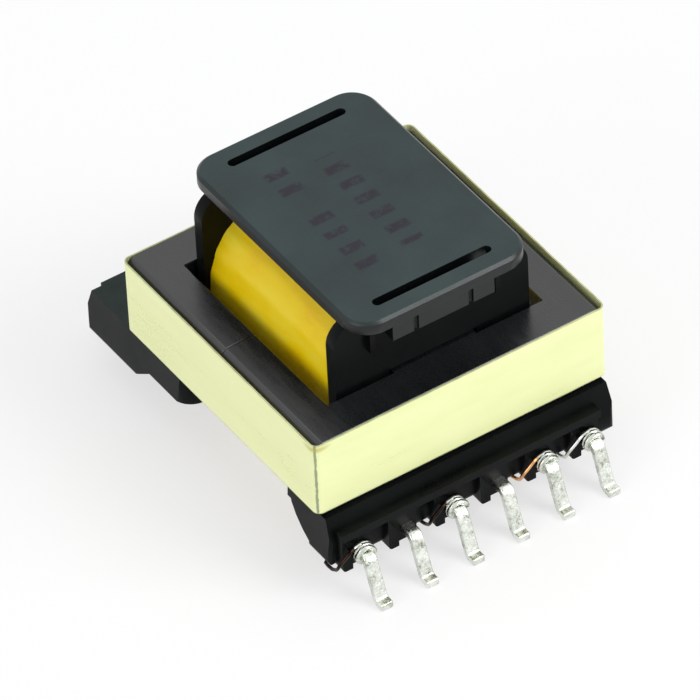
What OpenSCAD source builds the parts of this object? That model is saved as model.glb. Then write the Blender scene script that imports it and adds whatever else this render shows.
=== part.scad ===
// Surface-mount switching transformer: two ferrite E cores closed around a moulded bobbin,
// with twelve gull-wing terminals and a clip-on pick-up cap.
// X runs along the terminal rows, -Y is the front row, Z = 0 is the board.
// The origin is the middle of the footprint.

/* [Core] */
// Width across the outer legs
core_w = 16; // [15.4:0.1:17]
// Length of one E half, from its back to its leg ends
core_half_l = 7.9; // [7.6:0.1:8.4]
// Height of the ferrite
core_h = 4.4; // [4.0:0.1:4.8]
// Width of the centre leg
centre_leg_w = 4.6; // [4.0:0.1:5.0]
// Width of each outer leg
outer_leg_w = 2.05; // [1.9:0.05:2.2]
// Thickness of the back of each half
core_back = 2; // [1.8:0.05:2.2]
// Air gap ground into the front half's centre leg
core_gap = 0.2; // [0.05:0.05:0.5]
// Chamfer along the outer long edges
core_chamfer = 0.42; // [0.1:0.02:0.6]
// Radius of the upright corners
core_corner_r = 0.3; // [0.1:0.05:0.6]
// Height of the core's underside above the board
core_z = 4.45; // [4.3:0.05:4.8]

/* [Core tape] */
// Thickness of the tape round the core
core_tape_t = 0.08; // [0.05:0.01:0.15]
// Width of the tape, which is flush with the top of the core
core_tape_w = 4.2; // [3.5:0.1:4.4]

/* [Bobbin] */
// Wall of the tube that the coil is wound on
tube_wall = 0.65; // [0.5:0.05:0.8]
// Play between the centre leg and the tube, each side
leg_play = 0.12; // [0.05:0.01:0.2]
// Thickness of the two flanges
flange_t = 0.65; // [0.5:0.05:0.8]
// Play between a flange and the back of the core
flange_play = 0.15; // [0.05:0.05:0.3]
// Play between a flange's sides and the outer legs
flange_side_play = 0.6; // [0.5:0.05:0.9]
// Height of the flange tops above the board
flange_top = 12.9; // [12.4:0.1:13.6]
// Height of the flange bottoms above the board
flange_bottom = 1.15; // [0.9:0.05:1.3]
// Radius of the flange's upper corners
flange_r = 1.3; // [0.6:0.1:2]
// Radius of the flange's lower corners
flange_foot_r = 0.5; // [0.2:0.1:0.8]
// Width of the lug that the cap hooks under
lug_w = 5.4; // [4.4:0.1:5.6]
// How far the lug and the guide ribs stand out from the flange
lug_out = 0.35; // [0.3:0.01:0.38]
// Height of the lug
lug_h = 0.3; // [0.2:0.05:0.4]
// Distance of the lug's underside below the flange top
lug_drop = 0.8; // [0.7:0.05:1]
// Middle of each guide rib beside the hook
rib_x = 3.45; // [3.3:0.05:3.8]
// Width of a guide rib
rib_w = 0.3; // [0.2:0.05:0.4]
// Length of a guide rib, down from the flange top
rib_l = 2.05; // [1.5:0.05:2.5]
// Middle of each wire slot in the flange
slot_x = 2.5; // [2.2:0.1:2.8]
// Width of a wire slot
slot_w = 0.8; // [0.7:0.05:1.2]
// Height of a wire slot, up from the flange bottom
slot_h = 1.3; // [1.3:0.05:1.6]

/* [Terminal rails] */
// How far each end of the front rail lies inside the core's side
front_end_in = 0.05; // [0:0.01:0.15]
// How far each end of the rear rail stands outside the core's side
rear_end_out = 0.05; // [0:0.01:0.15]
// How much further out the rear rail carries its terminals
rear_reach = 3.05; // [2:0.05:4]
// Thickness of the shelf under the core
shelf_t = 0.75; // [0.6:0.05:0.9]
// Thickness of the wall that holds the terminals
wall_t = 1.3; // [1.1:0.05:1.5]
// How far the wall's top edge stands outside the core
wall_lip = 0.3; // [0.2:0.05:0.4]
// How far the wall leans out from top to bottom
wall_lean = 0.45; // [0.1:0.05:0.5]
// Height of the rails' undersides above the board
rail_bottom = 1.75; // [1.7:0.05:1.85]
// How far each end flares out from top to bottom
end_flare = 0.15; // [0:0.05:0.3]
// Radius of the lower corners, seen from the front
end_r = 0.4; // [0.2:0.05:0.6]
// Radius of the outer upright corners
rail_r = 0.35; // [0.2:0.05:0.5]
// Height of the ledge along the tooth row
ledge_z = 3.8; // [3.6:0.05:4]
// Thickness of the strip that joins the teeth
strip_h = 0.45; // [0.3:0.05:0.6]
// Height of the teeth's undersides above the board
tooth_bottom = 1.55; // [1.4:0.05:1.7]
// How far a tooth's front stands out from the wall's top edge
tooth_out = 0.82; // [0.75:0.01:0.9]
// How much lower the face beside each terminal lies
tooth_recess = 0.27; // [0.2:0.01:0.3]
// Distance from a terminal's middle to its tooth's left flank
tooth_left = 1.15; // [1:0.05:1.2]
// Distance from a terminal's middle to the edge of the tooth's proud part
tooth_side = 0.6; // [0.6:0.01:0.7]
// Distance from a terminal's middle to its tooth's right flank
tooth_right = 0.55; // [0.45:0.05:0.8]
// Width of the gussets at the sides of the front rail
gusset_w = 1; // [0.8:0.05:1.2]
// Where a gusset begins, in from the end of the core's window
gusset_in = 0.6; // [0.4:0.05:0.8]
// Depth of a gusset where it begins
gusset_h = 0.55; // [0.4:0.05:0.7]
// Fullness of a gusset's curve, where 2 is a quarter of an ellipse
gusset_power = 1.5; // [1.2:0.1:2]
// Where the rear arms under the outer legs begin, out from the core's middle
arm_u = 3.2; // [2.8:0.1:3.6]
// Length of an arm's level underside
arm_l = 3.1; // [2.6:0.1:3.4]
// Run of the slope from an arm down to the rear rail
arm_ramp = 1.55; // [1.2:0.05:1.8]
// Width of the rear arms
arm_w = 2.1; // [1.9:0.05:2.2]
// Thickness of the rear arms
arm_t = 1.6; // [1.3:0.05:1.8]
// Radius of the arms' outer corners
arm_r = 1.1; // [0.6:0.1:1.4]

/* [Terminals] */
// Spacing of the terminals in a row
pin_pitch = 2.54; // [2.5:0.01:2.6]
// Width of a terminal
pin_w = 0.65; // [0.5:0.05:0.7]
// Thickness of a terminal
pin_t = 0.4; // [0.3:0.05:0.5]
// Height of the terminals' middles where they leave the rail
pin_z = 2.23; // [2.2:0.01:2.3]
// How deep each terminal sits in the wall, in from the wall's top edge
pin_depth = 1.05; // [0.8:0.05:1.1]
// From the wall's top edge out to the upper bend
bend_out = 1.25; // [1.25:0.01:1.4]
// From the wall's top edge out to the lower bend
foot_out = 2.09; // [2:0.01:2.3]
// From the wall's top edge out to the toe
toe_out = 2.65; // [2.6:0.05:3]
// Radius of both bends, at mid thickness
bend_r = 0.35; // [0.3:0.01:0.4]

/* [Pick-up cap] */
// Width of the plate
cap_w = 9.68; // [9:0.1:10.4]
// Length of the plate
cap_l = 14.28; // [14:0.1:15]
// Thickness of the plate
cap_t = 0.68; // [0.5:0.02:0.9]
// Radius of the plate's corners
cap_r = 1.4; // [1:0.1:2.4]
// Chamfer round the plate's top edge
cap_chamfer = 0.16; // [0.05:0.01:0.3]
// Distance between the slots' middles
cap_slot_pitch = 11.84; // [11.8:0.02:11.9]
// Length of a slot between its round ends' centres
cap_slot_l = 5.97; // [5:0.01:6.2]
// Width of a slot
cap_slot_w = 0.48; // [0.4:0.02:0.6]
// Width of the hook bars under the plate
hook_w = 5.6; // [5:0.1:5.8]
// Thickness of a hook bar
hook_t = 0.6; // [0.5:0.05:0.7]
// Depth of a hook bar below the plate
hook_l = 1.2; // [1.1:0.05:1.5]
// Play between a hook bar and the lug
hook_play = 0.1; // [0.05:0.01:0.15]
// How far the barb reaches in from the bar
barb_reach = 0.33; // [0.25:0.01:0.36]
// Play between the barb and the lug's underside
barb_play = 0.05; // [0.02:0.01:0.08]
// Height of the barb's flat edge
barb_edge = 0.13; // [0.1:0.01:0.2]
// Distance from the middle to each groove in the hook bar's face
groove_x = 1.5; // [1:0.1:2]
// Width of a groove
groove_w = 0.25; // [0.15:0.05:0.4]
// Depth of a groove
groove_d = 0.12; // [0.05:0.01:0.2]

/* [Windings] */
// Half width of the primary winding
primary_a = 3.92; // [3.8:0.02:4]
// Half height of the primary winding
primary_b = 3.82; // [3.7:0.02:3.9]
// Build-up of the insulation over the primary
insulation_t = 0.1; // [0.05:0.01:0.2]
// How far the secondary winding lies inside the flange's sides
coil_inset = 0.3; // [0.25:0.01:0.5]
// Half height of the secondary winding
secondary_b = 5.08; // [4.9:0.01:5.15]
// Build-up of the outer tape
outer_tape_t = 0.12; // [0.06:0.01:0.16]
// Squareness of the inner layers, where 2 is an ellipse
inner_power = 4; // [3.6:0.1:5]
// Squareness of the outer layers, where 2 is an ellipse
outer_power = 2.7; // [2.6:0.1:3.4]

/* [Leads] */
// Diameter of the lead wires
wire_d = 0.18; // [0.14:0.01:0.18]
// Turns of wire round a terminal
wrap_turns = 2; // [1:1:2]
// Clearance of the wire from the terminal's corners and from the teeth
wrap_gap = 0.01; // [0.01:0.005:0.02]
// Spacing of the two wires that share a slot
wire_spacing = 0.4; // [0.3:0.05:0.5]
// How far below its slot's top a wire passes the flange
wire_drop = 0.3; // [0.2:0.05:0.4]
// Run from the flange to where the wires reach their lowest level
wire_fall = 0.8; // [0.6:0.05:1]
// How far below the rail's underside the wires run
wire_low = 0.25; // [0.2:0.05:0.3]
// Distance of a rising wire from its tooth's left flank
notch_gap = 0.25; // [0.2:0.01:0.26]

/* [Hidden] */
pins_per_row = 6;
// Terminals with a lead; the others are bare.
wired_pins = [1, 3, 5, 6, 8, 11];

$fn = 48;
eps = 0.01;

// Distances written u run outward from the core's middle, towards the row's own side.
core_top = core_z + core_h;
core_mid_z = core_z + core_h / 2;
window_u = core_half_l - core_back;
flange_u1 = window_u - flange_play;
flange_u0 = flange_u1 - flange_t;
flange_w = core_w - 2 * (outer_leg_w + flange_side_play);
tube_w = centre_leg_w + 2 * (leg_play + tube_wall);
tube_h = core_h + 2 * (leg_play + tube_wall);
front_half_w = core_w / 2 - front_end_in;
rear_half_w = core_w / 2 + rear_end_out;
wall_u = core_half_l + wall_lip;
wall_foot_u = wall_u + wall_lean;
tooth_u = wall_u + tooth_out;
toe_u = wall_u + toe_out;
// The rear row reaches further out, so the core sits forward of the footprint's middle.
core_y = -rear_reach / 2;
leg_fall = atan2(pin_z - pin_t / 2, foot_out - bend_out);
lug_z = flange_top - lug_drop;
hook_u = flange_u1 + lug_out + hook_play;
secondary_a = flange_w / 2 - coil_inset;
layer_steps = 64;
bend_steps = 6;
wire_sides = 8;
turn_steps = 12;

function pin_x(k) = (k - (pins_per_row - 1) / 2) * pin_pitch;
function arc(cx, cy, r, from, to, steps) =
    [for (i = [0:steps]) let (a = from + (to - from) * i / steps) [cx + r * cos(a), cy + r * sin(a)]];
function signed_power(v, e) = sign(v) * pow(abs(v), e);
function layer_outline(a, b, power) =
    [for (i = [0:layer_steps - 1]) let (t = (i + 0.5) * 360 / layer_steps)
        [a * signed_power(cos(t), 2 / power), b * signed_power(sin(t), 2 / power)]];

// ---- placing ----

module at_core() translate([0, core_y, 0]) children();

// Everything at a row is drawn for the front; the rear row is the same turned half round.
module rear_side() rotate([0, 0, 180]) children();

// Extrudes an outline of (u, z) points along X.
module along_x(x0, x1)
    translate([x0, 0, 0]) rotate([90, 0, 90]) linear_extrude(x1 - x0) mirror([1, 0]) children();

// Extrudes an outline of (x, z) points outward, from u0 to u1.
module outward(u0, u1)
    translate([0, -u0, 0]) rotate([90, 0, 0]) linear_extrude(u1 - u0) children();

// Extrudes an outline of (x, y) points upward, from z0 to z1.
module upward(z0, z1)
    translate([0, 0, z0]) linear_extrude(z1 - z0) children();

module span(x0, x1, y0, y1)
    translate([x0, y0]) square([x1 - x0, y1 - y0]);

// A rectangle whose two lower and two upper corners have their own radii.
module rounded(half_w, y0, y1, r0, r1) {
    span(-half_w, half_w, y0 + r0, y1 - r1);
    span(-half_w + r0, half_w - r0, y0, y0 + r0 + eps);
    span(-half_w + r1, half_w - r1, y1 - r1 - eps, y1);
    for (s = [-1, 1]) {
        translate([s * (half_w - r0), y0 + r0]) circle(r0);
        translate([s * (half_w - r1), y1 - r1]) circle(r1);
    }
}

// ---- core ----

// The outline from behind: outer long edges chamfered.
module core_section() {
    w = core_w / 2;
    c = core_chamfer;
    polygon([[-w + c, core_z], [w - c, core_z], [w, core_z + c], [w, core_top - c],
             [w - c, core_top], [-w + c, core_top], [-w, core_top - c], [-w, core_z + c]]);
}

// One E half, with its back to the front. The gap shortens the centre leg.
module core_half(gap) {
    inner = centre_leg_w / 2;
    outer = core_w / 2 - outer_leg_w;
    intersection() {
        outward(-eps, core_half_l + eps) core_section();
        upward(core_z - eps, core_top + eps) difference() {
            union() {
                span(-core_w / 2, core_w / 2, -core_half_l + core_corner_r, 0);
                span(-core_w / 2 + core_corner_r, core_w / 2 - core_corner_r,
                     -core_half_l, -core_half_l + core_corner_r + eps);
                for (s = [-1, 1])
                    translate([s * (core_w / 2 - core_corner_r), -core_half_l + core_corner_r])
                        circle(core_corner_r);
            }
            span(-outer, -inner, -window_u, eps);
            span(inner, outer, -window_u, eps);
            span(-inner - eps, inner + eps, -gap, eps);
        }
    }
}

module core_front()
    color("#2c3133") at_core() core_half(core_gap);

module core_rear()
    color("#2c3133") at_core() rear_side() core_half(0);

// The tape holds the halves together and bridges the chamfers on the outer legs.
module core_tape()
    color("#eef2bd") at_core() upward(core_top - core_tape_w, core_top) difference() {
        rounded(core_w / 2 + core_tape_t, -core_half_l - core_tape_t, core_half_l + core_tape_t,
                core_corner_r + core_tape_t, core_corner_r + core_tape_t);
        rounded(core_w / 2, -core_half_l, core_half_l, core_corner_r, core_corner_r);
    }

// ---- bobbin ----

module flange() {
    outward(flange_u0, flange_u1) difference() {
        rounded(flange_w / 2, flange_bottom, flange_top, flange_foot_r, flange_r);
        for (s = [-1, 1])
            translate([s * slot_x, 0])
                span(-slot_w / 2, slot_w / 2, flange_bottom - eps, flange_bottom + slot_h);
    }
    outward(flange_u1 - eps, flange_u1 + lug_out) {
        span(-lug_w / 2, lug_w / 2, lug_z, lug_z + lug_h);
        for (s = [-1, 1])
            translate([s * rib_x, 0]) span(-rib_w / 2, rib_w / 2, flange_top - rib_l, flange_top);
    }
}

// Section of the terminal wall: its outer face leans out, then drops to a rounded foot.
function wall_section(reach) =
    let (top = wall_u + reach, foot = wall_foot_u + reach)
    concat([[top - wall_t, core_z], [top - wall_t, rail_bottom]],
           arc(foot - end_r, rail_bottom + end_r, end_r, 270, 360, bend_steps),
           [[foot, (core_z + rail_bottom) / 2], [top, core_z]]);

// Side of the front rail: a curved gusset from the flange down to the wall.
gusset_u = window_u - gusset_in;
gusset_z = core_z - gusset_h;
front_cheek =
    concat([[gusset_u, core_z]],
           [for (i = [0:bend_steps]) let (a = 180 + 90 * i / bend_steps)
               [wall_u + (wall_u - gusset_u) * signed_power(cos(a), 2 / gusset_power),
                gusset_z + (gusset_z - rail_bottom) * signed_power(sin(a), 2 / gusset_power)]],
           [[wall_u, core_z]]);

// Side of the rear rail: an arm under the leg, then a deep side down to the wall.
rear_cheek = [[arm_u, core_z], [arm_u, core_z - arm_t], [arm_u + arm_l, core_z - arm_t],
              [arm_u + arm_l + arm_ramp, rail_bottom], [wall_u + rear_reach, rail_bottom],
              [wall_u + rear_reach, core_z]];

module end_outline(half_w)
    polygon(concat([[half_w - end_flare, core_z]],
                   arc(half_w - end_r, rail_bottom + end_r, end_r, 0, -90, bend_steps),
                   arc(-half_w + end_r, rail_bottom + end_r, end_r, 270, 180, bend_steps),
                   [[-half_w + end_flare, core_z]]));

// A strip along the ledge, and under it one tooth for each terminal. The left part of a tooth is
// proud, with a slanted edge that the wire passes over; the terminal leaves the lower face beside it.
module teeth(reach) {
    u0 = wall_u + reach - eps;
    u1 = tooth_u + reach;
    strip_z = ledge_z - strip_h;
    outward(u0, u1)
        span(pin_x(0) - tooth_left, pin_x(pins_per_row - 1) + tooth_right, strip_z, ledge_z);
    for (k = [0:pins_per_row - 1])
        translate([pin_x(k), 0, 0]) {
            outward(u0, u1 - tooth_recess) span(-tooth_left, tooth_right, tooth_bottom, ledge_z);
            outward(u0, u1)
                polygon([[-tooth_left, tooth_bottom], [-tooth_side, tooth_bottom],
                         [-tooth_side, pin_z + pin_t / 2], [-tooth_left + eps, strip_z + eps],
                         [-tooth_left, strip_z + eps]]);
        }
}

// Shelf, wall, sides and teeth of one row. The cheek is the outline of its sides.
module rail(half_w, reach, cheek, cheek_w, start_u, start_r) {
    intersection() {
        union() {
            along_x(-half_w, half_w) {
                span(flange_u0, wall_u + reach, core_z - shelf_t, core_z);
                polygon(wall_section(reach));
            }
            along_x(-half_w, -half_w + cheek_w) polygon(cheek);
            along_x(half_w - cheek_w, half_w) polygon(cheek);
        }
        outward(0, wall_foot_u + reach + eps) end_outline(half_w);
        upward(0, core_z + eps) mirror([0, 1])
            rounded(half_w, start_u, wall_foot_u + reach, start_r, rail_r);
    }
    teeth(reach);
}

module pin_pockets(reach)
    outward(wall_u - pin_depth + reach, tooth_u + reach + eps)
        for (k = [0:pins_per_row - 1])
            translate([pin_x(k), 0]) span(-pin_w / 2, pin_w / 2, pin_z - pin_t / 2, pin_z + pin_t / 2);

module bobbin()
    color("#14171a") at_core() difference() {
        union() {
            outward(-flange_u1, flange_u1) translate([0, core_mid_z]) square([tube_w, tube_h], center = true);
            flange();
            rear_side() flange();
            rail(front_half_w, 0, front_cheek, gusset_w, flange_u0, eps);
            rear_side() rail(rear_half_w, rear_reach, rear_cheek, arm_w, arm_u, arm_r);
        }
        outward(-flange_u1 - eps, flange_u1 + eps) translate([0, core_mid_z])
            square([centre_leg_w + 2 * leg_play, core_h + 2 * leg_play], center = true);
        pin_pockets(0);
        rear_side() pin_pockets(rear_reach);
    }

// ---- pick-up cap ----

// A plate of the given section, chamfered round its top edge.
module cap_plate() {
    w = cap_w / 2;
    l = cap_l / 2;
    z0 = flange_top;
    z1 = flange_top + cap_t;
    c = cap_chamfer;
    outward(-l + cap_r, l - cap_r)
        polygon([[-w, z0], [w, z0], [w, z1 - c], [w - c, z1], [-w + c, z1], [-w, z1 - c]]);
    along_x(-w + cap_r, w - cap_r)
        polygon([[-l, z0], [l, z0], [l, z1 - c], [l - c, z1], [-l + c, z1], [-l, z1 - c]]);
    for (sx = [-1, 1], sy = [-1, 1])
        translate([sx * (w - cap_r), sy * (l - cap_r), 0]) rotate_extrude()
            polygon([[0, z0], [cap_r, z0], [cap_r, z1 - c], [cap_r - c, z1], [0, z1]]);
}

// A bar behind the slot, with a barb that catches under the flange's lug.
module hook() {
    z0 = flange_top - hook_l;
    barb_u = hook_u - barb_reach;
    barb_z = lug_z - barb_play;
    difference() {
        along_x(-hook_w / 2, hook_w / 2)
            polygon([[hook_u, flange_top + eps], [hook_u, barb_z], [barb_u, barb_z],
                     [barb_u, barb_z - barb_edge], [hook_u, z0], [hook_u + hook_t, z0],
                     [hook_u + hook_t, flange_top + eps]]);
        outward(hook_u + hook_t - groove_d, hook_u + hook_t + eps)
            for (s = [-1, 1])
                translate([s * groove_x, 0]) span(-groove_w / 2, groove_w / 2, z0 - eps, flange_top);
    }
}

module top_cap()
    color("#1d2225") at_core() {
        difference() {
            cap_plate();
            for (s = [-1, 1])
                translate([0, s * cap_slot_pitch / 2, 0])
                    upward(flange_top - eps, flange_top + cap_t + eps) {
                        square([cap_slot_l, cap_slot_w], center = true);
                        for (e = [-1, 1]) translate([e * cap_slot_l / 2, 0]) circle(d = cap_slot_w);
                    }
        }
        hook();
        rear_side() hook();
    }

// ---- windings ----

module layer(outer, inner)
    at_core() outward(-flange_u0, flange_u0) translate([0, core_mid_z]) difference() {
        polygon(outer);
        polygon(inner);
    }

tube_outline = [[-tube_w / 2, -tube_h / 2], [tube_w / 2, -tube_h / 2],
                [tube_w / 2, tube_h / 2], [-tube_w / 2, tube_h / 2]];
primary_outline = layer_outline(primary_a, primary_b, inner_power);
insulation_outline = layer_outline(primary_a + insulation_t, primary_b + insulation_t, inner_power);
secondary_outline = layer_outline(secondary_a, secondary_b, outer_power);
tape_outline = layer_outline(secondary_a + outer_tape_t, secondary_b + outer_tape_t, outer_power);

module primary_winding()
    color("#b4602c") layer(primary_outline, tube_outline);

module layer_insulation()
    color("#e6dfb4") layer(insulation_outline, primary_outline);

module secondary_winding()
    color("#c0703a") layer(secondary_outline, insulation_outline);

module winding_tape()
    color("#f2c51c") layer(tape_outline, secondary_outline);

// ---- terminals ----

// A flat strip bent twice: out of the wall, down to the board and out again to the toe.
module pin(k, reach) {
    tangent = bend_r * tan(leg_fall / 2);
    upper = [wall_u + reach + bend_out - tangent, pin_z - bend_r];
    lower = [wall_u + reach + foot_out + tangent, pin_t / 2 + bend_r];
    root_u = wall_u + reach - pin_depth;
    outside = bend_r + pin_t / 2;
    inside = bend_r - pin_t / 2;
    color("#d5dad6") along_x(pin_x(k) - pin_w / 2, pin_x(k) + pin_w / 2)
        polygon(concat([[root_u, pin_z - pin_t / 2], [root_u, pin_z + pin_t / 2]],
                       arc(upper[0], upper[1], outside, 90, 90 - leg_fall, bend_steps),
                       arc(lower[0], lower[1], inside, 270 - leg_fall, 270, bend_steps),
                       [[toe_u + reach, pin_t], [toe_u + reach, 0]],
                       arc(lower[0], lower[1], outside, 270, 270 - leg_fall, bend_steps),
                       arc(upper[0], upper[1], inside, 90 - leg_fall, 90, bend_steps)));
}

// Terminals 1 to 6 run left to right in front, 7 to 12 right to left behind.
module row_place(p)
    at_core() if (p <= pins_per_row) children(); else rear_side() children();

function row_index(p) = (p - 1) % pins_per_row;
function row_reach(p) = p > pins_per_row ? rear_reach : 0;

// ---- leads ----

wire_r = wire_d / 2;
wrap_r = norm([pin_w, pin_t]) / 2 + wire_r + wrap_gap;
wrap_pitch = wire_d + wrap_gap;
wrap_u = tooth_u - tooth_recess + wire_r + wrap_gap;
slot_z = flange_bottom + slot_h - wire_drop;
low_z = rail_bottom - wire_low;

function unit(v) = v / norm(v);
// A smooth curve through the points, with each stretch cut in two.
function curve_point(a, b, c, d, t) =
    0.5 * (2 * b + (c - a) * t + (2 * a - 5 * b + 4 * c - d) * t * t + (3 * b - a - 3 * c + d) * t * t * t);
function smooth(pts) =
    let (n = len(pts))
    [for (i = [0:n - 2], t = [0, 0.5])
        curve_point(pts[max(i - 1, 0)], pts[i], pts[i + 1], pts[min(i + 2, n - 1)], t)];

// Turns round a terminal's middle, over its top and down its right side, moving outward.
function wrap(x, u) =
    [for (i = [0:wrap_turns * turn_steps]) let (a = 360 * i / turn_steps)
        [x + wrap_r * sin(a), -u - wrap_pitch * i / turn_steps, pin_z + wrap_r * cos(a)]];

// From the winding's end through the flange slot, under the wall, up the notch beside the tooth
// and across the tooth's face.
function between(a, b, share) = a + (b - a) * share;
function route(slot, x, reach) =
    let (notch = x - tooth_left - notch_gap, wall = wall_u + reach, face = tooth_u + reach + wire_r)
    [[slot, -flange_u0, slot_z],
     [slot, -(flange_u0 + flange_u1) / 2, slot_z],
     [slot, -flange_u1 - wire_r, slot_z],
     [between(slot, notch, 0.15), -flange_u1 - wire_fall, low_z],
     [between(slot, notch, 0.9), -wall + wall_t / 2, low_z],
     [notch, -wall, low_z],
     [notch, -wall - wall_lean - wire_d, low_z + wire_low],
     [notch, -face, pin_z],
     [x - tooth_left + wire_r, -face - wire_r, pin_z + pin_t],
     [x - tooth_side - wire_d, -face - wire_r, pin_z + pin_w],
     [x - pin_w / 2, -wrap_u - reach - wire_r, pin_z + (pin_w + wrap_r) / 2]];

function normals(t, n, i = 0) =
    i == len(t) ? [] :
    let (m = unit(n - (n * t[i]) * t[i])) concat([m], normals(t, m, i + 1));

module wire(path) {
    n = len(path);
    along = [for (i = [0:n - 1]) unit(path[min(i + 1, n - 1)] - path[max(i - 1, 0)])];
    side = normals(along, [0, 0, 1]);
    points = [for (i = [0:n - 1], j = [0:wire_sides - 1]) let (a = 360 * j / wire_sides)
        path[i] + wire_r * (cos(a) * side[i] + sin(a) * cross(along[i], side[i]))];
    walls = [for (i = [0:n - 2], j = [0:wire_sides - 1])
        let (a = i * wire_sides + j, b = i * wire_sides + (j + 1) % wire_sides)
        [a, a + wire_sides, b + wire_sides, b]];
    ends = [[for (j = [0:wire_sides - 1]) j],
            [for (j = [wire_sides - 1:-1:0]) (n - 1) * wire_sides + j]];
    polyhedron(points, concat(walls, ends));
}

// Which slot a wire takes, and its place in it, by its terminal.
function lead_slot(p) =
    p == 1 ? -slot_x - wire_spacing / 2 : p == 3 ? -slot_x + wire_spacing / 2 :
    p == 5 ? slot_x - wire_spacing / 2 : p == 6 ? slot_x + wire_spacing / 2 :
    row_index(p) < pins_per_row / 2 ? -slot_x : slot_x;

module lead(p) {
    x = pin_x(row_index(p));
    reach = row_reach(p);
    color("#b8734a") row_place(p)
        wire(concat(smooth(route(lead_slot(p), x, reach)), wrap(x, wrap_u + reach)));
}

core_front();
core_rear();
core_tape();
bobbin();
top_cap();
primary_winding();
layer_insulation();
secondary_winding();
winding_tape();
for (p = [1:2 * pins_per_row])
    row_place(p) pin(row_index(p), row_reach(p));
for (p = wired_pins)
    lead(p);
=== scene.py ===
"""Surface-mount switching transformer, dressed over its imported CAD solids."""

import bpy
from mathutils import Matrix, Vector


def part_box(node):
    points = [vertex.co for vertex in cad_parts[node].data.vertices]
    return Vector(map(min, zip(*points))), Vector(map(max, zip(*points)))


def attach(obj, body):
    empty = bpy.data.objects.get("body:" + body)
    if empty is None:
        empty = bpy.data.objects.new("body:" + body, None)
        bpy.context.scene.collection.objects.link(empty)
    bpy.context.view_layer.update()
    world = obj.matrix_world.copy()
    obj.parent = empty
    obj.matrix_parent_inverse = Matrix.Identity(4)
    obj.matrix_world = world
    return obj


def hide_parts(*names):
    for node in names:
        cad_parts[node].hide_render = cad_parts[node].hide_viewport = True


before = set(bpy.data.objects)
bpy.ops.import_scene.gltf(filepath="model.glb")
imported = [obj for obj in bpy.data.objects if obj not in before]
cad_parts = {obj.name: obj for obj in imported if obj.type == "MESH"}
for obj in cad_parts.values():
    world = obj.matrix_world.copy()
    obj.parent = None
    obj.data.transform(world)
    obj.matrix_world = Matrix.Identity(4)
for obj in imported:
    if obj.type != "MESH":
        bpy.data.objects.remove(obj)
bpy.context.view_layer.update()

import math

import bmesh
import bpy
from mathutils import Quaternion, Vector, noise

# ---- Ferrite core ----
# Two pressed and fired E halves of dark grey ferrite, tumbled smooth before they are glued:
# their edges are slightly rounded, the faces keep a fine grain and faint rub marks.

mm = 0.001
core_edge = 0.07 * mm
weld = 0.0002 * mm
flat_angle = math.radians(1.2)
flat_face_weight = 90


def joined_copy(node, name, join=weld):
    """A copy of a CAD solid's mesh with its loose triangles joined into flat faces."""
    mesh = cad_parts[node].data.copy()
    mesh.name = name
    mesh.materials.clear()
    work = bmesh.new()
    work.from_mesh(mesh)
    bmesh.ops.remove_doubles(work, verts=work.verts, dist=join)
    bmesh.ops.dissolve_limit(work, angle_limit=flat_angle, verts=work.verts, edges=work.edges)
    work.to_mesh(mesh)
    work.free()
    piece = bpy.data.objects.new(name, mesh)
    bpy.context.scene.collection.objects.link(piece)
    return piece


def settle(piece, smooth_angle=32):
    """Bakes a piece's modifiers into its mesh and shades it smooth below the given angle."""
    bpy.context.view_layer.update()
    evaluated = piece.evaluated_get(bpy.context.evaluated_depsgraph_get())
    mesh = bpy.data.meshes.new_from_object(evaluated)
    piece.modifiers.clear()
    mesh.name = piece.name
    mesh.polygons.foreach_set("use_smooth", [True] * len(mesh.polygons))
    mesh.set_sharp_from_angle(angle=math.radians(smooth_angle))
    piece.data = mesh
    return piece


def round_edges(piece, width, segments=2, angle=28):
    """Rounds a piece's edges as a mould or a tumbling drum leaves them."""
    bevel = piece.modifiers.new("rounded_edges", "BEVEL")
    bevel.width = width
    bevel.segments = segments
    bevel.limit_method = "ANGLE"
    bevel.angle_limit = math.radians(angle)
    bevel.use_clamp_overlap = True
    settle(piece)
    flat_faces = piece.modifiers.new("flat_faces", "WEIGHTED_NORMAL")
    flat_faces.keep_sharp = True
    flat_faces.weight = flat_face_weight
    return settle(piece)


def finish(name, **values):
    """A material with plain values on its shader's own sockets. Returns it, its tree and shader."""
    material = bpy.data.materials.new(name)
    material.use_nodes = True
    tree = material.node_tree
    shader = tree.nodes["Principled BSDF"]
    for socket, value in values.items():
        shader.inputs[socket.replace("_", " ")].default_value = value
    return material, tree, shader


def millimetres(tree, turn=(0, 0, 0), stretch=(1, 1, 1)):
    """The piece's own coordinates in millimetres."""
    place = tree.nodes.new("ShaderNodeTexCoord")
    scaled = tree.nodes.new("ShaderNodeMapping")
    scaled.inputs["Rotation"].default_value = turn
    scaled.inputs["Scale"].default_value = [s / mm for s in stretch]
    tree.links.new(place.outputs["Object"], scaled.inputs["Vector"])
    return scaled.outputs["Vector"]


def grain(tree, place, size, detail=4, roughness=0.55):
    """Cloudy noise whose largest patches are about size millimetres across."""
    node = tree.nodes.new("ShaderNodeTexNoise")
    node.inputs["Scale"].default_value = 1 / size
    node.inputs["Detail"].default_value = detail
    node.inputs["Roughness"].default_value = roughness
    tree.links.new(place, node.inputs["Vector"])
    return node.outputs["Fac"]


def graded(tree, value, *stops):
    """Turns a value into a colour, or into another value, through (position, colour) stops."""
    node = tree.nodes.new("ShaderNodeValToRGB")
    ramp = node.color_ramp
    while len(ramp.elements) < len(stops):
        ramp.elements.new(0.5)
    for element, (position, colour) in zip(ramp.elements, stops):
        element.position = position
        element.color = (*colour, 1) if isinstance(colour, tuple) else (colour, colour, colour, 1)
    tree.links.new(value, node.inputs["Fac"])
    return node.outputs["Color"]


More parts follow.
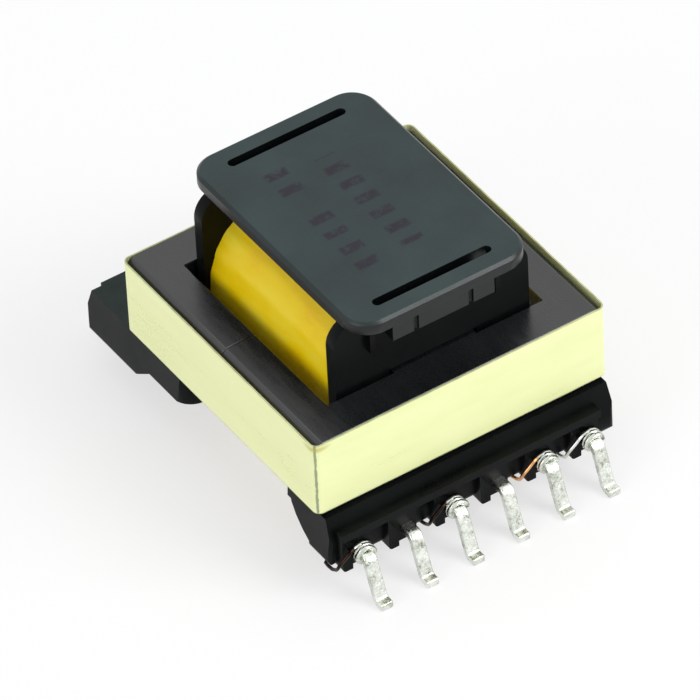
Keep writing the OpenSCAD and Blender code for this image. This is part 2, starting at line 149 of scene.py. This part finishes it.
def combined(tree, first, second, how="ADD", amount=1.0):
    """Two values put together by arithmetic, the second one scaled first."""
    scaled = tree.nodes.new("ShaderNodeMath")
    scaled.operation = "MULTIPLY"
    tree.links.new(second, scaled.inputs[0])
    scaled.inputs[1].default_value = amount
    node = tree.nodes.new("ShaderNodeMath")
    node.operation = how
    tree.links.new(first, node.inputs[0])
    tree.links.new(scaled.outputs[0], node.inputs[1])
    return node.outputs[0]


def blended(tree, factor, first, second):
    """One colour over another, where each is a socket or a plain colour."""
    node = tree.nodes.new("ShaderNodeMix")
    node.data_type = "RGBA"
    tree.links.new(factor, node.inputs["Factor"])
    for socket, colour in ((node.inputs[6], first), (node.inputs[7], second)):
        if isinstance(colour, tuple):
            socket.default_value = (*colour, 1)
        else:
            tree.links.new(colour, socket)
    return node.outputs[2]


def relief(tree, shader, height, depth, strength=1.0):
    """Raises and sinks the surface by up to depth, following a height between 0 and 1."""
    node = tree.nodes.new("ShaderNodeBump")
    node.inputs["Strength"].default_value = strength
    node.inputs["Distance"].default_value = depth
    tree.links.new(height, node.inputs["Height"])
    tree.links.new(node.outputs["Normal"], shader.inputs["Normal"])


ferrite, tree, shader = finish("ferrite", IOR=1.72)
place = millimetres(tree)
clouds = grain(tree, place, 2.6, 5, 0.6)
specks = grain(tree, place, 0.09, 3, 0.7)
rubs = grain(tree, millimetres(tree, (0, 0, 0.5), (1.1, 0.16, 0.6)), 0.7, 6, 0.65)
tone = combined(tree, clouds, specks, amount=0.5)
tree.links.new(
    graded(tree, tone, (0.45, (0.0025, 0.003, 0.0035)), (0.95, (0.0075, 0.0085, 0.009))),
    shader.inputs["Base Color"],
)
tree.links.new(
    graded(tree, combined(tree, rubs, specks, amount=0.25), (0.42, 0.19), (0.85, 0.36)),
    shader.inputs["Roughness"],
)
relief(tree, shader, combined(tree, clouds, specks, amount=0.3), 0.004 * mm, 0.4)

for node in ("core_front", "core_rear"):
    half = round_edges(joined_copy(node, node.replace("core", "ferrite_half")), core_edge, segments=3)
    half.data.materials.append(ferrite)
    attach(half, "root")
    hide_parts(node)

# ---- Core tape ----
# Pale yellow-green polyester film with clear adhesive, pulled tight round both halves to hold
# them together. One and a bit turns: its free end lies over the start at the rear.

core_film, tree, shader = finish("polyester_core_tape", IOR=1.5, Roughness=0.3)
place = millimetres(tree)
waves = grain(tree, millimetres(tree, (0, 0, 0), (0.25, 0.25, 1)), 1.3, 4, 0.5)
fibres = grain(tree, millimetres(tree, (0, 0, 0), (0.12, 0.12, 9)), 0.6, 3, 0.6)
dust = grain(tree, place, 0.12, 2, 0.6)
tone = combined(tree, waves, fibres, amount=0.15)
film_colour = graded(tree, tone, (0.4, (0.79, 0.83, 0.41)), (0.95, (0.87, 0.89, 0.50)))
film_low, film_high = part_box("core_tape")


def near(tree, place, spot, reach, spread=(1, 1, 1)):
    """1 at a spot given in millimetres, falling to 0 at reach from it, which is spread by axis."""
    offset = tree.nodes.new("ShaderNodeVectorMath")
    offset.operation = "SUBTRACT"
    offset.inputs[1].default_value = spot
    tree.links.new(place, offset.inputs[0])
    shaped = tree.nodes.new("ShaderNodeVectorMath")
    shaped.operation = "DIVIDE"
    shaped.inputs[1].default_value = [reach * s for s in spread]
    tree.links.new(offset.outputs["Vector"], shaped.inputs[0])
    length = tree.nodes.new("ShaderNodeVectorMath")
    length.operation = "LENGTH"
    tree.links.new(shaped.outputs["Vector"], length.inputs[0])
    fall = tree.nodes.new("ShaderNodeMath")
    fall.operation = "SUBTRACT"
    fall.use_clamp = True
    fall.inputs[0].default_value = 1
    tree.links.new(length.outputs["Value"], fall.inputs[1])
    return fall.outputs[0]


# The film's cut edges look olive. It is creased along the front left corner, the crease line
# darkened with painted shade, and has a small nick near the top. Distances in the finish are in
# millimetres.
long_way = 1000
film_mid = (film_low + film_high) / 2 / mm
edge_line = 0.09
crease_in, crease_reach = 0.11, 0.12
nick_in, nick_drop, nick_reach = 0.2, 0.25, 0.75
for edge_z in (film_low.z / mm, film_high.z / mm):
    edge = near(tree, place, (0, film_mid.y, edge_z), edge_line, (long_way, long_way, 1))
    patchy = grain(tree, place, 0.8)
    edge = combined(tree, edge, patchy, "MULTIPLY", 1.3)
    film_colour = blended(tree, edge, film_colour, (0.23, 0.25, 0.09))
corner = (film_low.x / mm + crease_in, film_low.y / mm + crease_in, film_mid.z)
crease = near(tree, place, corner, crease_reach, (1, 1, long_way))
# Painted shade: the crease line is darkened in broken patches to a dull olive.
broken = combined(tree, crease, grain(tree, place, 0.25), "MULTIPLY", 2.0)
crease_painted_shade = graded(tree, broken, (0.30, 0.0), (0.55, 1.0))
film_colour = blended(tree, crease_painted_shade, film_colour, (0.30, 0.34, 0.20))
nick_spot = (corner[0] + nick_in, corner[1] + nick_in, film_high.z / mm - nick_drop)
nick = near(tree, place, nick_spot, nick_reach, (1, 1, 0.3))
film_colour = blended(tree, nick, film_colour, (0.42, 0.36, 0.02))
tree.links.new(film_colour, shader.inputs["Base Color"])
tree.links.new(graded(tree, combined(tree, waves, dust, amount=0.4), (0.5, 0.26), (0.9, 0.42)),
               shader.inputs["Roughness"])
relief(tree, shader, combined(tree, tone, crease, amount=0.8), 0.03 * mm, 0.3)

film_thick = 0.08 * mm
film_corner = 0.38 * mm
corner_steps, side_steps, height_steps = 8, 40, 8
edge_unevenness, edge_waves = 0.03 * mm, 700
film_slack, slack_waves, slack_rise = 0.012 * mm, 420, 0.002


def band_outline(half_x, half_y, radius):
    """Points round an upright rounded rectangle, as many for any size."""
    points = []
    for quarter, (sx, sy) in enumerate(((1, 1), (-1, 1), (-1, -1), (1, -1))):
        middle = Vector((sx * (half_x - radius), sy * (half_y - radius)))
        for step in range(corner_steps + 1):
            angle = math.pi / 2 * (quarter + step / corner_steps)
            points.append(middle + radius * Vector((math.cos(angle), math.sin(angle))))
    whole = []
    for index, point in enumerate(points):
        whole.append(point)
        if index % (corner_steps + 1) == corner_steps:
            following = points[(index + 1) % len(points)]
            whole += [point.lerp(following, step / side_steps) for step in range(1, side_steps)]
    return whole


def closed_skin(name, rings):
    """A closed tube of skin from rings of points, the last ring joined to the first."""
    work = bmesh.new()
    made = [[work.verts.new(point) for point in ring] for ring in rings]
    count = len(made[0])
    for ring, following in zip(made, made[1:] + made[:1]):
        for i in range(count):
            j = (i + 1) % count
            work.faces.new((ring[i], ring[j], following[j], following[i]))
    bmesh.ops.recalc_face_normals(work, faces=work.faces)
    mesh = bpy.data.meshes.new(name)
    work.to_mesh(mesh)
    work.free()
    piece = bpy.data.objects.new(name, mesh)
    bpy.context.scene.collection.objects.link(piece)
    return piece


def film_height(point, share):
    """Height of the film at a share of its width, its cut edges slightly uneven."""
    wave = noise.noise(Vector((point.x, point.y, share)) * edge_waves)
    uneven = edge_unevenness * (0.5 + 0.5 * wave)
    low, high = film_low.z + uneven, film_high.z - uneven
    return low + (high - low) * share


film_half = (film_high - film_low) / 2
outside = band_outline(film_half.x, film_half.y, film_corner)
inside = band_outline(film_half.x - film_thick, film_half.y - film_thick, film_corner - film_thick)
rings = []
for wall, order in ((outside, range(height_steps + 1)), (inside, range(height_steps, -1, -1))):
    for level in order:
        share = level / height_steps
        ring = []
        for point in wall:
            wave = noise.noise(Vector((point.x, point.y, share * slack_rise)) * slack_waves)
            loose = film_slack * (0.5 + 0.5 * wave) if wall is outside else 0
            pulled = point * (1 - loose / film_half.y)
            ring.append((pulled.x, pulled.y + film_mid.y * mm, film_height(point, share)))
        rings.append(ring)
band = closed_skin("core_tape_band", rings)
settle(band, 50)
band.data.materials.append(core_film)
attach(band, "root")
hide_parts("core_tape")

# The free end of the turn, lying over the start on the rear face and pressed into it.
end_thick, end_sunk = 0.03 * mm, 0.014 * mm
end_left, end_right = -3.2 * mm, 5.6 * mm
end_bottom, end_top = film_low.z + 0.12 * mm, film_high.z - 0.1 * mm
end_steps = 24
rings = []
for depth in (end_thick, 0):
    rear_y = film_high.y + depth - end_sunk
    below = [end_left + (end_right - end_left) * i / end_steps for i in range(end_steps + 1)]
    rings.append([(x, rear_y, end_bottom) for x in below] + [(x, rear_y, end_top) for x in reversed(below)])
work = bmesh.new()
made = [[work.verts.new(point) for point in ring] for ring in rings]
count = len(made[0])
for i in range(count):
    j = (i + 1) % count
    work.faces.new((made[0][i], made[0][j], made[1][j], made[1][i]))
for ring in made:
    for i in range(end_steps):
        work.faces.new((ring[i], ring[i + 1], ring[count - 2 - i], ring[count - 1 - i]))
bmesh.ops.recalc_face_normals(work, faces=work.faces)
mesh = bpy.data.meshes.new("core_tape_end")
work.to_mesh(mesh)
work.free()
tape_end = bpy.data.objects.new("core_tape_end", mesh)
bpy.context.scene.collection.objects.link(tape_end)
tape_end.data.materials.append(core_film)
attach(tape_end, "root")

# ---- Bobbin ----
# Black glass-filled phenolic, moulded in one piece: tube, flanges and both terminal rails.
# The up-facing faces toward the rear, the long rear rail's top most of all, carry a painted sheen: a
# lighter grey-green standing in for the bright sky they reflect. The rest is nearly black.



def upward(tree):
    """How far a surface faces up: 1 on level tops, 0 or less on sides and undersides."""
    parts = tree.nodes.new("ShaderNodeSeparateXYZ")
    tree.links.new(tree.nodes.new("ShaderNodeNewGeometry").outputs["Normal"], parts.inputs[0])
    return graded(tree, parts.outputs["Z"], (0.5, 0.0), (0.9, 1.0))


bobbin_plastic, tree, shader = finish("phenolic_bobbin", IOR=1.5, Specular_IOR_Level=0.08)
place = millimetres(tree)
clouds = grain(tree, place, 1.8, 5, 0.6)
specks = grain(tree, place, 0.07, 3, 0.7)
moulded = graded(tree, combined(tree, clouds, specks, amount=0.5), (0.5, (0.0014, 0.0018, 0.002)),
                 (0.98, (0.0045, 0.0055, 0.0055)))
# Painted sheen: faces that look up, from the rear flange back, get a lighter grey-green base colour in
# cloudy patches.
rear_end, shelf_reach = (0, 12.4, 4.4), 9
shelf = near(tree, place, rear_end, shelf_reach, (long_way, 1, long_way))
painted_top_sheen = combined(tree, upward(tree), graded(tree, shelf, (0.1, 0.0), (0.3, 1.0)), "MULTIPLY")
painted_top_sheen = combined(tree, painted_top_sheen, graded(tree, clouds, (0.25, 0.6), (0.7, 1.0)), "MULTIPLY")
tree.links.new(blended(tree, painted_top_sheen, moulded, (0.034, 0.048, 0.046)), shader.inputs["Base Color"])
tree.links.new(graded(tree, clouds, (0.3, 0.26), (0.75, 0.44)), shader.inputs["Roughness"])
relief(tree, shader, combined(tree, specks, clouds, amount=1.5), 0.006 * mm, 0.7)

pin_pitch = 2.54 * mm
tooth_sides = (1.15 * mm, 0.55 * mm)
tooth_foot = 1.55 * mm
foot_round, foot_segments = 0.19 * mm, 4
bobbin_weld, bobbin_edge = 0.013 * mm, 0.11 * mm
close = 0.02 * mm

body = joined_copy("bobbin", "bobbin_moulding", bobbin_weld)
work = bmesh.new()
work.from_mesh(body.data)
foot_edges = []
for edge in work.edges:
    start, stop = (vert.co for vert in edge.verts)
    from_pin = abs((start.x + 3 * pin_pitch) % pin_pitch - pin_pitch / 2)
    on_side = any(abs(abs(from_pin) - side) < close for side in tooth_sides)
    low = abs(start.z - tooth_foot) < close and abs(stop.z - tooth_foot) < close
    if low and on_side and abs(start.x - stop.x) < close and abs(start.y - stop.y) > 5 * close:
        foot_edges.append(edge)
bmesh.ops.bevel(work, geom=foot_edges, offset=foot_round, offset_type="OFFSET",
                segments=foot_segments, profile=0.5, affect="EDGES", clamp_overlap=False)
work.to_mesh(body.data)
work.free()
round_edges(body, bobbin_edge, segments=3)
body.data.materials.append(bobbin_plastic)
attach(body, "root")
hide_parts("bobbin")

# ---- Windings ----
# Copper layers under bright yellow polyester film. The coil's section is a soft square, and
# the film is pulled over the turns, so that it shows flats and creases.

winding_film, tree, shader = finish("polyester_winding_tape", IOR=1.52, Specular_IOR_Level=0.3)
place = millimetres(tree)
waves = grain(tree, millimetres(tree, (0, 0, 0), (1, 0.35, 1)), 1.4, 4, 0.55)
specks = grain(tree, place, 0.1, 2, 0.6)
tree.links.new(
    graded(tree, waves, (0.25, (0.90, 0.56, 0.002)), (0.5, (0.97, 0.68, 0.004)),
           (0.75, (0.98, 0.79, 0.05))),
    shader.inputs["Base Color"],
)
tree.links.new(graded(tree, combined(tree, waves, specks, amount=0.4), (0.4, 0.2), (0.95, 0.42)),
               shader.inputs["Roughness"])
relief(tree, shader, waves, 0.06 * mm, 0.5)

coil_low, coil_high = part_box("winding_tape")
coil_mid = (coil_low + coil_high) / 2
coil_half = (coil_high - coil_low) / 2
coil_power = 2.7
coil_steps, coil_rings = 180, 60
coil_film = 0.1 * mm
slack_depth, slack_patch = 0.05 * mm, Vector((7.3, 1.7, 4.1))
flat_depth, flat_count = 0.03 * mm, 26


def coil_point(turn, along, inset):
    """A point of the coil's outer film, at a share of the turn and of the coil's length."""
    angle = 2 * math.pi * turn
    cosine, sine = math.cos(angle), math.sin(angle)
    x = math.copysign(abs(cosine) ** (2 / coil_power), cosine)
    z = math.copysign(abs(sine) ** (2 / coil_power), sine)
    sag = slack_depth * (0.5 - 0.5 * noise.noise(Vector((4 * x, 2.2 * along, 4 * z)) + slack_patch))
    twist = 1.5 * math.sin(3 * along)
    flat = flat_depth * (0.5 - 0.5 * math.cos(flat_count * angle + twist))
    shrink = inset + sag + flat
    return Vector((
        coil_mid.x + (coil_half.x - shrink) * x,
        coil_mid.y + coil_half.y * (2 * along - 1),
        coil_mid.z + (coil_half.z - shrink) * z,
    ))


work = bmesh.new()
skins = []
for inset in (0, coil_film):
    skins.append([
        [work.verts.new(coil_point(s / coil_steps, r / coil_rings, inset)) for s in range(coil_steps)]
        for r in range(coil_rings + 1)
    ])
outer, inner = skins
for s in range(coil_steps):
    t = (s + 1) % coil_steps
    for r in range(coil_rings):
        work.faces.new((outer[r][s], outer[r][t], outer[r + 1][t], outer[r + 1][s]))
        work.faces.new((inner[r][s], inner[r + 1][s], inner[r + 1][t], inner[r][t]))
    for r, flip in ((0, 1), (coil_rings, -1)):
        rim = (outer[r][s], inner[r][s], inner[r][t], outer[r][t])
        work.faces.new(rim[::flip])
bmesh.ops.recalc_face_normals(work, faces=work.faces)
mesh = bpy.data.meshes.new("winding_tape_skin")
work.to_mesh(mesh)
work.free()
coil = bpy.data.objects.new("winding_tape_skin", mesh)
bpy.context.scene.collection.objects.link(coil)
settle(coil, 50)
coil.data.materials.append(winding_film)
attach(coil, "root")
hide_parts("winding_tape")

magnet_wire, tree, shader = finish("enamelled_wire", Metallic=1.0, Roughness=0.3)
turns = tree.nodes.new("ShaderNodeTexWave")
turns.bands_direction = "Y"
turns.inputs["Scale"].default_value = 1.2
turns.inputs["Distortion"].default_value = 0.4
tree.links.new(millimetres(tree), turns.inputs["Vector"])
tree.links.new(
    graded(tree, turns.outputs["Fac"], (0.1, (0.25, 0.07, 0.02)), (0.8, (0.62, 0.25, 0.09))),
    shader.inputs["Base Color"],
)
relief(tree, shader, turns.outputs["Fac"], 0.08 * mm)
insulation, tree, shader = finish("layer_film", IOR=1.5, Roughness=0.35)
clouds = grain(tree, millimetres(tree), 1.1)
tree.links.new(
    graded(tree, clouds, (0.3, (0.60, 0.56, 0.33)), (0.8, (0.72, 0.68, 0.45))),
    shader.inputs["Base Color"],
)
for node, material in (("primary_winding", magnet_wire), ("secondary_winding", magnet_wire),
                       ("layer_insulation", insulation)):
    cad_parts[node].data.materials.clear()
    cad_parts[node].data.materials.append(material)

# ---- Pick-up cap ----
# A thin moulded plate of black nylon, with two slots where its hook bars join. It snaps over the
# flange lugs. Its flat top carries two worn rows of plain ink marks.

cap_plastic, tree, shader = finish("nylon_cap", IOR=1.55, Specular_IOR_Level=0.33)
place = millimetres(tree)
clouds = grain(tree, place, 3.2, 5, 0.55)
specks = grain(tree, place, 0.06, 3, 0.7)
moulded = graded(tree, combined(tree, clouds, specks, amount=0.5), (0.45, (0.006, 0.015, 0.0155)),
                 (0.95, (0.016, 0.034, 0.035)))


stroke_pitch, stroke_reach = 1.24, 0.75


def ink_row(tree, place, row_x, row_from, row_to):
    """Short worn strokes of ink across the plate, evenly spaced along a row."""
    parts = tree.nodes.new("ShaderNodeSeparateXYZ")
    tree.links.new(place, parts.inputs[0])
    middle = (row_from + row_to) / 2
    across = near(tree, place, (row_x, middle, 0), stroke_reach, (1, long_way, long_way))
    half_row = abs(row_to - row_from) / 2
    along = near(tree, place, (row_x, middle, 0), half_row, (long_way, 1, long_way))
    saw = tree.nodes.new("ShaderNodeMath")
    saw.operation = "PINGPONG"
    saw.inputs[1].default_value = stroke_pitch / 2
    tree.links.new(parts.outputs["Y"], saw.inputs[0])
    stroke = graded(tree, saw.outputs[0], (0.22, 1.0), (0.34, 0.0))
    kept = combined(tree, graded(tree, across, (0.12, 0.0), (0.3, 1.0)), stroke, "MULTIPLY")
    kept = combined(tree, kept, graded(tree, along, (0.0, 0.0), (0.03, 1.0)), "MULTIPLY")
    rubbed = graded(tree, grain(tree, place, 0.5, 6, 0.7), (0.36, 0.0), (0.50, 1.0))
    return combined(tree, kept, rubbed, "MULTIPLY")


ink = ink_row(tree, place, 0.65, 2.3, -5.1)
for row_from, row_to in ((3.1, 0.5), (-0.7, -2.7), (-3.3, -5.6)):
    ink = combined(tree, ink, ink_row(tree, place, -1.85, row_from, row_to), "MAXIMUM")
# Painted shade: faces that do not look up, the cap's sides, edges and hooks, get a darker, nearly black
# base colour, and only the top keeps the teal plastic colour.
sides_painted_dark = blended(tree, upward(tree), (0.0018, 0.0028, 0.0032), moulded)
printed = blended(tree, ink, sides_painted_dark, (0.003, 0.001, 0.010))
tree.links.new(printed, shader.inputs["Base Color"])
tree.links.new(graded(tree, clouds, (0.3, 0.26), (0.75, 0.42)), shader.inputs["Roughness"])
relief(tree, shader, combined(tree, specks, clouds, amount=1.2), 0.006 * mm, 0.8)

cap_edge = 0.05 * mm
cap = round_edges(joined_copy("top_cap", "pickup_cap"), cap_edge)
cap.data.materials.append(cap_plastic)
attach(cap, "root")
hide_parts("top_cap")

# ---- Terminals ----
# Flat bronze strip, tinned and pressed into the rails, then bent twice to gull wings. The feet
# are dipped, so that the tin is thicker and uneven there.

tin, tree, shader = finish("tinned_strip", Metallic=1.0)
place = millimetres(tree)
clouds = grain(tree, place, 0.55, 5, 0.6)
pits = grain(tree, place, 0.11, 3, 0.65)
# All three tin colours lean slightly green: a painted reflection of the yellow-green core tape.
tree.links.new(
    graded(tree, combined(tree, clouds, pits, amount=0.6), (0.55, (0.20, 0.21, 0.16)),
           (0.72, (0.62, 0.65, 0.58)), (0.95, (0.86, 0.88, 0.83))),
    shader.inputs["Base Color"],
)
tree.links.new(graded(tree, pits, (0.3, 0.22), (0.75, 0.42)), shader.inputs["Roughness"])
relief(tree, shader, combined(tree, clouds, pits, amount=0.4), 0.05 * mm, 0.6)

terminal_edge = 0.09 * mm
terminal_count = 12
for number in range(1, terminal_count + 1):
    node = f"pin_{number}"
    terminal = round_edges(joined_copy(node, f"terminal_{number}"), terminal_edge, segments=3)
    terminal.data.materials.append(tin)
    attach(terminal, "root")
    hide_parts(node)

# ---- Leads ----
# Enamelled copper brought out under the rails, wound on the terminals and dip-soldered there.

solder, tree, shader = finish("solder", Metallic=1.0)
place = millimetres(tree)
clouds = grain(tree, place, 0.3, 5, 0.65)
tree.links.new(
    graded(tree, clouds, (0.33, (0.16, 0.17, 0.13)), (0.48, (0.60, 0.63, 0.56)),
           (0.7, (0.86, 0.88, 0.83))),
    shader.inputs["Base Color"],
)
tree.links.new(graded(tree, clouds, (0.3, 0.34), (0.7, 0.18)), shader.inputs["Roughness"])
relief(tree, shader, clouds, 0.06 * mm, 0.6)


def wire_finish(name, colour, worn_colour):
    """Wire that is bare tin close to its terminal and keeps its own colour elsewhere."""
    material, tree, shader = finish(name, Metallic=1.0, Roughness=0.28)
    place = millimetres(tree)
    parts = tree.nodes.new("ShaderNodeSeparateXYZ")
    tree.links.new(place, parts.inputs[0])
    shifted = tree.nodes.new("ShaderNodeMath")
    shifted.operation = "ADD"
    shifted.inputs[1].default_value = pin_pitch / mm / 2
    tree.links.new(parts.outputs["X"], shifted.inputs[0])
    from_pin = tree.nodes.new("ShaderNodeMath")
    from_pin.operation = "PINGPONG"
    from_pin.inputs[1].default_value = pin_pitch / mm / 2
    tree.links.new(shifted.outputs[0], from_pin.inputs[0])
    tinned = graded(tree, from_pin.outputs[0], (0.50, 1.0), (0.62, 0.0))
    own = graded(tree, grain(tree, place, 0.4), (0.35, colour), (0.7, worn_colour))
    tree.links.new(blended(tree, tinned, own, (0.66, 0.68, 0.62)), shader.inputs["Base Color"])
    return material


copper = wire_finish("copper_lead", (0.62, 0.26, 0.09), (0.86, 0.48, 0.24))
silvered = wire_finish("tinned_lead", (0.55, 0.57, 0.52), (0.80, 0.82, 0.78))
varnished = wire_finish("varnished_lead", (0.010, 0.008, 0.007), (0.05, 0.025, 0.015))
lead_finishes = {1: varnished, 3: varnished, 5: copper, 6: silvered, 8: copper, 11: copper}

# Solder floods the turns on each wired terminal: a ringed sleeve round the terminal's root.
turns = bpy.data.node_groups.new("solder_turns", "GeometryNodeTree")
turns.interface.new_socket("Geometry", in_out="OUTPUT", socket_type="NodeSocketGeometry")
sockets = {}
for label, value in (("Turns", 3.0), ("Turn radius", 0.49 * mm), ("Sleeve length", 0.55 * mm),
                     ("Strand radius", 0.14 * mm)):
    made = turns.interface.new_socket(label, in_out="INPUT", socket_type="NodeSocketFloat")
    made.default_value = value
    sockets[label] = made.identifier
made = turns.interface.new_socket("Finish", in_out="INPUT", socket_type="NodeSocketMaterial")
sockets["Finish"] = made.identifier
given = turns.nodes.new("NodeGroupInput")
spiral = turns.nodes.new("GeometryNodeCurveSpiral")
spiral.inputs["Resolution"].default_value = 26
turns.links.new(given.outputs["Turns"], spiral.inputs["Rotations"])
for end in ("Start Radius", "End Radius"):
    turns.links.new(given.outputs["Turn radius"], spiral.inputs[end])
turns.links.new(given.outputs["Sleeve length"], spiral.inputs["Height"])
strand = turns.nodes.new("GeometryNodeCurvePrimitiveCircle")
strand.inputs["Resolution"].default_value = 10
turns.links.new(given.outputs["Strand radius"], strand.inputs["Radius"])
swept = turns.nodes.new("GeometryNodeCurveToMesh")
swept.inputs["Fill Caps"].default_value = True
turns.links.new(spiral.outputs["Curve"], swept.inputs["Curve"])
turns.links.new(strand.outputs["Curve"], swept.inputs["Profile Curve"])
whole = turns.nodes.new("GeometryNodeRealizeInstances")
turns.links.new(swept.outputs["Mesh"], whole.inputs["Geometry"])
painted = turns.nodes.new("GeometryNodeSetMaterial")
turns.links.new(whole.outputs["Geometry"], painted.inputs["Geometry"])
turns.links.new(given.outputs["Finish"], painted.inputs["Material"])
turns.links.new(painted.outputs["Geometry"], turns.nodes.new("NodeGroupOutput").inputs["Geometry"])

wire_angle = 60
row_length = 6
flooded = (1, 3)
flooded_radius, thin_radius = 0.44 * mm, 0.41 * mm
root_in, root_height = 1.6 * mm, 2.23 * mm
sleeve_back, sleeve_flatness = 0.05 * mm, 0.88
ripple_share, ripple_waves = 0.09, 2600
for number, material in lead_finishes.items():
    node = f"lead_pin_{number}"
    lead = settle(joined_copy(node, f"lead_{number}"), wire_angle)
    lead.data.materials.append(material)
    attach(lead, "root")
    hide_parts(node)

    pin_low, pin_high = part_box(f"pin_{number}")
    outward = -1 if number <= row_length else 1
    root_y = (pin_high.y - root_in) if outward < 0 else (pin_low.y + root_in)
    name = f"solder_sleeve_{number}"
    sleeve = bpy.data.objects.new(name, bpy.data.meshes.new(name))
    bpy.context.scene.collection.objects.link(sleeve)
    modifier = sleeve.modifiers.new("solder_turns", "NODES")
    modifier.node_group = turns
    modifier[sockets["Turn radius"]] = flooded_radius if number in flooded else thin_radius
    modifier[sockets["Finish"]] = solder
    settle(sleeve, wire_angle)
    centre = Vector(((pin_low.x + pin_high.x) / 2, root_y, root_height))
    for vert in sleeve.data.vertices:
        x, y, z = vert.co
        wave = noise.noise(Vector((x, y, z)) * ripple_waves + Vector((number, 0, 0)))
        ripple = 1 + ripple_share * wave
        away = outward * (z - sleeve_back)
        vert.co = centre + Vector((x * ripple, away, y * ripple * sleeve_flatness))
    sleeve.data.update()
    work = bmesh.new()
    work.from_mesh(sleeve.data)
    bmesh.ops.recalc_face_normals(work, faces=work.faces)
    work.to_mesh(sleeve.data)
    work.free()
    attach(sleeve, "root")

# ---- Table, light and camera ----
# A plain white table under soft studio light. The table stays white to the lens and in
# reflections, with the object's shadow on it.

floor_mesh = bpy.data.meshes.new("table_top")
floor_reach = 0.6
floor_mesh.from_pydata(
    [(-floor_reach, -floor_reach, 0), (floor_reach, -floor_reach, 0),
     (floor_reach, floor_reach, 0), (-floor_reach, floor_reach, 0)],
    [], [(0, 1, 2, 3)],
)
floor = bpy.data.objects.new("table_top", floor_mesh)
bpy.context.scene.collection.objects.link(floor)
table_paint, tree, shader = finish("table_paint", Roughness=0.9)
shader.inputs["Base Color"].default_value = (0.92, 0.92, 0.92, 1)
shader.inputs["Specular IOR Level"].default_value = 0.0


def seen_directly(tree):
    """1 for what the lens, a reflection or a glass shows, 0 for the light that falls on things."""
    path = tree.nodes.new("ShaderNodeLightPath")
    seen = path.outputs["Is Camera Ray"]
    for ray in ("Is Glossy Ray", "Is Transmission Ray"):
        either = tree.nodes.new("ShaderNodeMath")
        either.operation = "MAXIMUM"
        tree.links.new(seen, either.inputs[0])
        tree.links.new(path.outputs[ray], either.inputs[1])
        seen = either.outputs[0]
    return seen


share = tree.nodes.new("ShaderNodeMath")
share.operation = "MULTIPLY"
white_share = 0.62
share.inputs[1].default_value = white_share
tree.links.new(seen_directly(tree), share.inputs[0])
white = tree.nodes.new("ShaderNodeEmission")
mixed = tree.nodes.new("ShaderNodeMixShader")
tree.links.new(share.outputs[0], mixed.inputs[0])
tree.links.new(shader.outputs[0], mixed.inputs[1])
tree.links.new(white.outputs[0], mixed.inputs[2])
tree.links.new(mixed.outputs[0], tree.nodes["Material Output"].inputs["Surface"])
floor_mesh.materials.append(table_paint)

world = bpy.data.worlds.new("studio")
bpy.context.scene.world = world
world.use_nodes = True
tree = world.node_tree
ambient = tree.nodes["Background"]
ambient.inputs["Color"].default_value = (0.97, 0.99, 1.0, 1)
ambient.inputs["Strength"].default_value = 0.62
backdrop = tree.nodes.new("ShaderNodeBackground")
backdrop.inputs["Color"].default_value = (1, 1, 1, 1)
mixed = tree.nodes.new("ShaderNodeMixShader")
tree.links.new(seen_directly(tree), mixed.inputs[0])
tree.links.new(ambient.outputs[0], mixed.inputs[1])
tree.links.new(backdrop.outputs[0], mixed.inputs[2])
tree.links.new(mixed.outputs[0], tree.nodes["World Output"].inputs["Surface"])


def softbox(name, spot, size, power):
    """A square studio light at spot, turned to face the object's middle."""
    data = bpy.data.lights.new(name, "AREA")
    data.shape = "SQUARE"
    data.size = size
    data.energy = power
    lamp = bpy.data.objects.new(name, data)
    bpy.context.scene.collection.objects.link(lamp)
    lamp.location = spot
    lamp.rotation_euler = (Vector((0, 0, 0.006)) - Vector(spot)).to_track_quat("-Z", "Y").to_euler()


softbox("key_light", (0.22, -0.30, 0.30), 0.26, 1.2)
softbox("left_light", (-0.38, -0.10, 0.17), 0.24, 0.45)
softbox("overhead_light", (0.02, 0.10, 0.45), 0.35, 0.2)

camera = bpy.data.objects.new("camera", bpy.data.cameras.new("camera"))
bpy.context.scene.collection.objects.link(camera)
aim = Vector((-0.817, -1.416, 5.008)) * mm
sight = Vector((0.39092, 0.62710, -0.67374)).normalized()
distance = 455.32
roll = math.radians(-3.085)
camera.location = aim - sight * distance * mm
camera.rotation_mode = "QUATERNION"
level = sight.to_track_quat("-Z", "Y")
camera.rotation_quaternion = level @ Quaternion((0, 0, 1), roll)
camera.data.sensor_width = 36
camera.data.lens = 506.6
camera.data.clip_start = 0.01
camera.data.clip_end = 10
bpy.context.scene.camera = camera

bpy.context.scene.view_settings.view_transform = "Standard"
